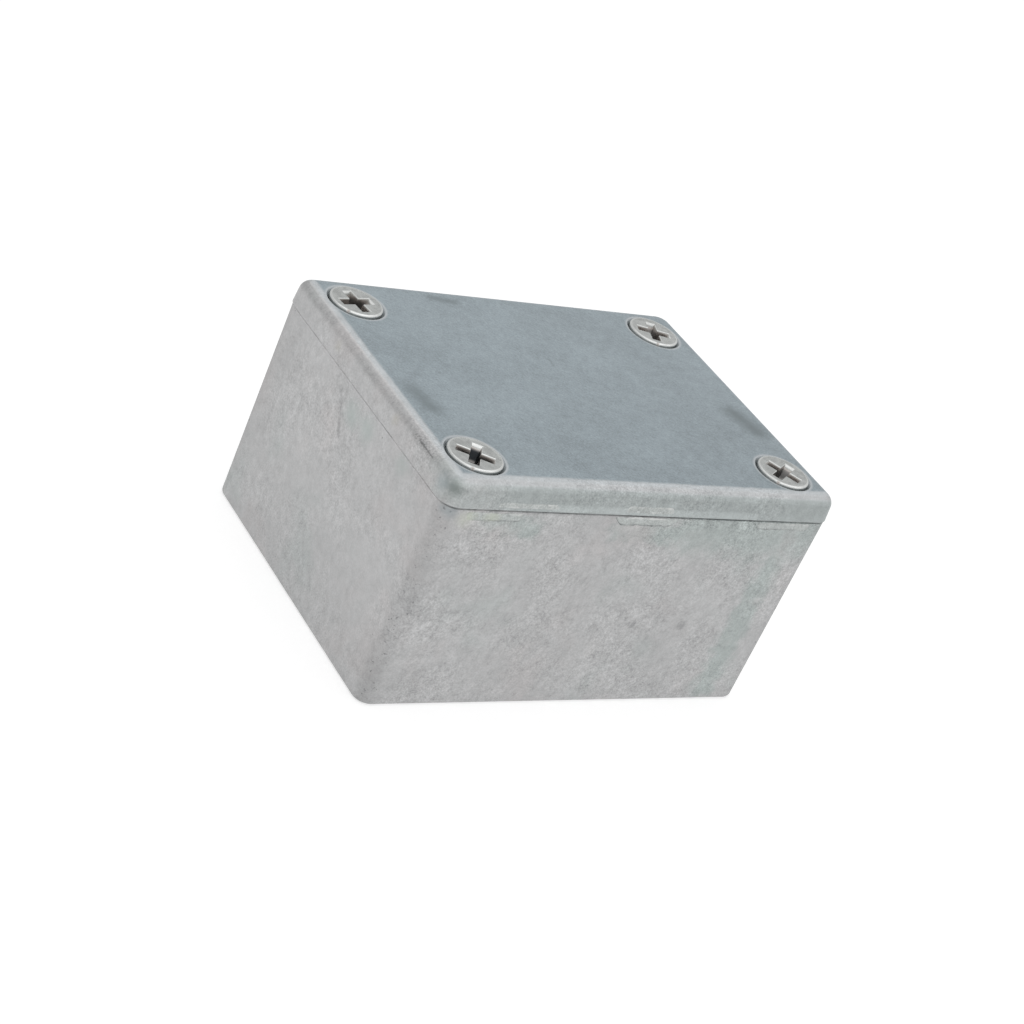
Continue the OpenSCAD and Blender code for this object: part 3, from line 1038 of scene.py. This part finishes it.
@dataclass(frozen=True)
class GateMark:
    """A broken gate: a thin pad with rounded ends on a casting's front face."""

    side: str
    x_range: Span
    z_range: Span
    wear: float
    taper: float = 0.3
    sunk: float = 0.05
    corner_r: float = 0.3
    border: Span = (0.3, 0.1)
    low_edge: Span = (0.3, 0.6)
    end_edge: Span = (0.88, 0.95)
    right_share: float = 0.5
    edge_waves: tuple[Point, ...] = ((0.07, 1.3, 0.0), (0.05, 3.1, 1.0), (0.03, 8.7, 0.0))
    face_waves: tuple[Point, ...] = ((0.2, 3.1, 5.0), (0.15, 7.3, -9.0), (0.1, 17.0, 21.0))
    arc_points: int = 132
    columns: int = 240

    def outline(self) -> tuple[np.ndarray, np.ndarray]:
        """The pad's outline about its middle.

        Quarter circles stand at the corners of a smaller rectangle, straight lines join them, and the points are
        spaced evenly along the whole. A sum of sines makes it slightly ragged.

        Returns:
            Offsets along x and z.
        """
        half_x = np.ptp(self.x_range) / 2.0 - self.corner_r
        half_z = np.ptp(self.z_range) / 2.0 - self.corner_r
        turn = np.linspace(0.0, 2.0 * np.pi, self.arc_points)
        across = np.sign(np.cos(turn)) * half_x + self.corner_r * np.cos(turn)
        up = np.sign(np.sin(turn)) * half_z + self.corner_r * np.sin(turn)
        run = np.concatenate([[0.0], np.cumsum(np.hypot(np.diff(across), np.diff(up)))])
        at = np.linspace(0.0, run[-1], self.columns, endpoint=False)
        ragged = sum((size * np.sin(rate * at + phase) for size, rate, phase in self.edge_waves), 1.0)
        return np.interp(at, run, across), np.interp(at, run, up) * ragged

    def surface(self, face: CastFace) -> Grid:
        """Works out the pad.

        Rings of its outline, which narrows away from the seam, run by shares from its middle out over a broken
        front to the rim, where it sinks into the casting, and back. Sines across the face break its front.

        Args:
            face: The face it lies on.

        Returns:
            Rings of points, the two poles, the pale part of its border, partly a painted highlight, and the dark
            part, of dirt and painted shadow, at the edge away from the seam and at the ends.
        """
        reach = np.array([0.1, 0.3, 0.5, 0.65, 0.75, 0.82, 0.88, 0.93, 0.97, 1.0, 0.7, 0.3])
        lift = np.array([1.0, 1.0, 1.0, 1.0, 1.0, 0.97, 0.85, 0.55, 0.1, -0.6, -1.0, -1.0])
        across, up = self.outline()
        half_x, half_z = np.ptp(self.x_range) / 2.0, np.ptp(self.z_range) / 2.0
        narrow = 1.0 - self.taper / half_x * (0.5 + 0.5 * face.away * up / half_z)
        off_x, off_z = np.outer(reach, across * narrow), np.outer(reach, up)
        x, z = off_x + sum(self.x_range) / 2.0, off_z + sum(self.z_range) / 2.0
        rough = sum(size * np.sin(rate_x * x + rate_z * z) for size, rate_x, rate_z in self.face_waves)
        front = np.where(lift > 0.0, face.proud, self.sunk)
        out = (front * lift)[:, None] * (1.0 - np.abs(rough))
        rings = np.stack([x, face.y + (z - face.z) * face.lean - out, z], axis=-1)
        from_side, from_end = half_z - np.abs(off_z), half_x * narrow - np.abs(off_x)
        border = smooth_step(np.minimum(from_side, from_end), *self.border)
        # Dirt and painted shadow on the edge away from the seam and at the ends; the rest of the border is pale,
        # partly a painted highlight
        low = smooth_step(face.away * off_z / half_z, *self.low_edge)
        ends = smooth_step(np.abs(off_x) / (half_x * narrow), *self.end_edge)
        shadow_and_dirt = np.maximum(low, ends * np.where(off_x < 0.0, 1.0, self.right_share)) * face.dirt_and_shade
        poles = np.stack([rings[0].mean(axis=0), rings[-1].mean(axis=0)])
        return rings, poles, {"rim": border * (1.0 - shadow_and_dirt) * self.wear, "foot": border * shadow_and_dirt * self.wear}


@dataclass
class Casting:
    """One casting of the box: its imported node, its skin and the gate marks on its front face."""

    node: str
    body: Body
    slot: Slot
    finish: BaseFinish | LidFinish
    face: CastFace
    gates: tuple[GateMark, ...]
    gate_finish: GateFinish = field(default_factory=GateFinish)
    gate_crease: float = 60.0

    def dress(self) -> Piece:
        """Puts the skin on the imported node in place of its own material.

        Returns:
            The node's object.
        """
        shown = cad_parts[self.node]
        shown.data.materials.clear()
        shown.data.materials.append(self.finish.material())
        return shown

    def build(self) -> list[Piece]:
        """Makes the gate marks.

        Returns:
            The marks, riding on the casting's body.
        """
        material = self.gate_finish.material()
        made = []
        for gate in self.gates:
            rings, poles, marks = gate.surface(self.face)
            piece = closed_surface(f"{self.node}_gate_{gate.side}", rings * MM, poles * MM, marks, self.gate_crease)
            piece.data.materials.append(material)
            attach(piece, self.body.value)
            made.append(piece)
        return made


@dataclass
class CastBase(Casting):
    """The open casting below the seam."""

    node: str = "base"
    body: Body = Body.BASE
    slot: Slot = Slot.BASE
    finish: BaseFinish = field(default_factory=BaseFinish)
    face: CastFace = CastFace(-BASE_HALF[1], SEAM_Z, -math.tan(math.radians(0.25)), 0.05, -1.0, 1.0)
    gates: tuple[GateMark, ...] = (
        GateMark("middle", (-4.6, 4.5), (23.5, 24.54), 1.5, 1.2),
        GateMark("left", (-22.6, -15.6), (23.4, 24.4), 0.7),
        GateMark("right", (14.8, 22.6), (23.6, 24.5), 0.8),
    )


@dataclass
class CastLid(Casting):
    """The casting above the seam."""

    node: str = "lid"
    body: Body = Body.LID
    slot: Slot = Slot.LID
    finish: LidFinish = field(default_factory=LidFinish)
    face: CastFace = CastFace(-LID_HALF[1], SEAM_Z + 0.15, math.tan(math.radians(5.0)), 0.02, 1.0, 0.0)
    gates: tuple[GateMark, ...] = (
        GateMark("middle", (-3.5, 3.0), (25.12, 25.88), 1.0),
        GateMark("left", (-19.4, -11.7), (25.12, 25.67), 1.0),
    )


# Studio


@dataclass(frozen=True)
class Lamp:
    """A soft square lamp that faces the box, with its distance and size in metres and its power in watts."""

    name: str
    toward: Point
    distance: float
    size: float
    power: float

    def build(self, target: Vector) -> None:
        """Hangs the lamp in its direction from a place.

        Args:
            target: The place that it faces.
        """
        data = bpy.data.lights.new(self.name, "AREA")
        data.shape, data.size, data.energy = "SQUARE", self.size, self.power
        lamp = linked(self.name, data)
        direction = Vector(self.toward).normalized()
        lamp.location = target + direction * self.distance
        lamp.rotation_mode = "QUATERNION"
        lamp.rotation_quaternion = direction.to_track_quat("Z", "Y")
        lamp.visible_camera = False


@dataclass(frozen=True)
class PhotoCamera:
    """Camera at the photograph's angle, in millimetres and degrees, with its clipping in metres."""

    target: Point = (-0.952, -0.608, 11.725)
    distance: float = 249.565
    azimuth: float = -41.733
    elevation: float = 27.655
    roll: float = -24.762
    lens: float = 80.257
    sensor: float = 36.0
    clip: Span = (0.01, 20.0)

    def build(self) -> None:
        """Sets the camera up, turned about its own axis by the roll."""
        a, e, roll = (math.radians(v) for v in (self.azimuth, self.elevation, self.roll))
        back = Vector((math.sin(a) * math.cos(e), -math.cos(a) * math.cos(e), math.sin(e)))
        level = (-back).cross(Vector((0.0, 0.0, 1.0))).normalized()
        over = level.cross(-back)
        up = over * math.cos(roll) + level * math.sin(roll)
        right = (-back).cross(up)
        data = bpy.data.cameras.new("photo_camera")
        data.lens, data.sensor_width = self.lens, self.sensor
        data.clip_start, data.clip_end = self.clip
        camera = linked("photo_camera", data)
        turn = Matrix((right, up, back)).transposed().to_4x4()
        camera.matrix_world = Matrix.Translation(Vector(self.target) * MM + back * self.distance * MM) @ turn
        bpy.context.scene.camera = camera


@dataclass
class Studio:
    """White floor, white surroundings, two soft lamps and the camera. The floor's radius is in metres."""

    floor_r: float = 4.0
    floor_drop: float = 0.02
    floor_points: int = 96
    floor_grey: float = 0.8
    floor_glow: float = 0.55
    room_light: float = 0.4
    lamps: tuple[Lamp, ...] = (
        Lamp("overhead_lamp", (0.1, 0.05, 0.99), 0.6, 0.95, 1.5),
        Lamp("camera_lamp", (-0.5, -0.55, 0.67), 0.7, 0.35, 0.25),
    )
    camera: PhotoCamera = field(default_factory=PhotoCamera)

    def seen(self, tree: ShaderTree) -> Shade:
        """1 for rays that show the background: from the camera, in gloss and through glass."""
        rays = [tree.shade("LightPath", {}, f"Is {kind} Ray") for kind in ("Camera", "Glossy", "Transmission")]
        return sum(rays[1:], rays[0]).lesser(1.0)

    def build_floor(self) -> None:
        """Lays a pale round floor under the box, which shows white and keeps the shadow."""
        angle = np.linspace(0.0, 2.0 * np.pi, self.floor_points, endpoint=False)
        rim = np.stack([np.cos(angle), np.sin(angle), np.zeros_like(angle)], axis=1) * self.floor_r
        rim[:, 2] = -self.floor_drop * MM
        mesh = bpy.data.meshes.new("floor")
        mesh.from_pydata(rim.tolist(), [], [list(range(len(rim)))])
        floor = linked("floor", mesh)
        tree = MaterialTree("floor_white")
        matt = tree.out("BsdfDiffuse", {"Color": (*[self.floor_grey] * 3, 1.0)})
        both = tree.out("AddShader", {0: matt, 1: tree.out("Emission", {"Strength": self.floor_glow})})
        tree.close("OutputMaterial", tree.out("MixShader", {0: self.seen(tree), 1: matt, 2: both}))
        mesh.materials.append(tree.material)

    def build_world(self) -> None:
        """Surrounds the box with plain light that shows white."""
        world = bpy.data.worlds.new("white_room")
        world.use_nodes = True
        bpy.context.scene.world = world
        tree = ShaderTree(world.node_tree)
        powers = (self.room_light, 1.0)
        light, show = (tree.out("Background", {"Color": (1.0,) * 4, "Strength": power}) for power in powers)
        tree.close("OutputWorld", tree.out("MixShader", {0: self.seen(tree), 1: light, 2: show}))

    def build(self) -> None:
        """Builds the room, the lamps and the camera."""
        self.build_floor()
        self.build_world()
        target = Vector(self.camera.target) * MM
        for lamp in self.lamps:
            lamp.build(target)
        self.camera.build()
        bpy.context.scene.view_settings.view_transform = "Standard"


def main() -> None:
    """Builds and dresses the box, then the studio round it."""
    logging.basicConfig(level=logging.INFO, format="%(name)s: %(message)s")
    base, lid, screws = CastBase(), CastLid(), LidScrews()
    pieces = [base.dress(), *base.build(), lid.dress(), *lid.build(), *screws.build()]
    for piece in pieces:
        LOG.info("%s, %d faces", piece.name, len(piece.data.polygons))
    Studio().build()


if __name__ == "__main__":
    main()
